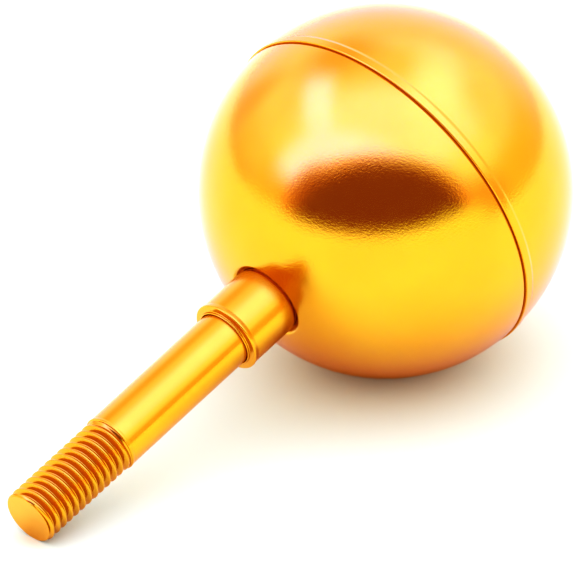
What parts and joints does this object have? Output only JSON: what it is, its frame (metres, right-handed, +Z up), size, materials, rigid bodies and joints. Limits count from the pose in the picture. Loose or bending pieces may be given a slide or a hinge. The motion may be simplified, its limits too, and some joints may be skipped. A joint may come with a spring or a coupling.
{
  "type": "flagpole finial",
  "caption": "Gold-anodised aluminium ball finial with a lapped seam, a collar and a threaded spindle, lying on its side.",
  "frame": {"origin": "on the floor, under the middle of the finial's bounding box as it lies", "axes": "+Z up from the floor; +X from the spindle's threaded tip towards the ball; +Y to the side"},
  "size_m": [0.1526, 0.0806, 0.0797],
  "materials": {
    "gold_shell": "gold anodised, satin",
    "gold_turned": "gold anodised, turned and smooth"
  },
  "bodies": {
    "root": {"upper_half_shell": "gold_shell", "lower_half_shell": "gold_shell", "collar": "gold_turned", "threaded_spindle": "gold_turned"}
  },
  "joints": []
}
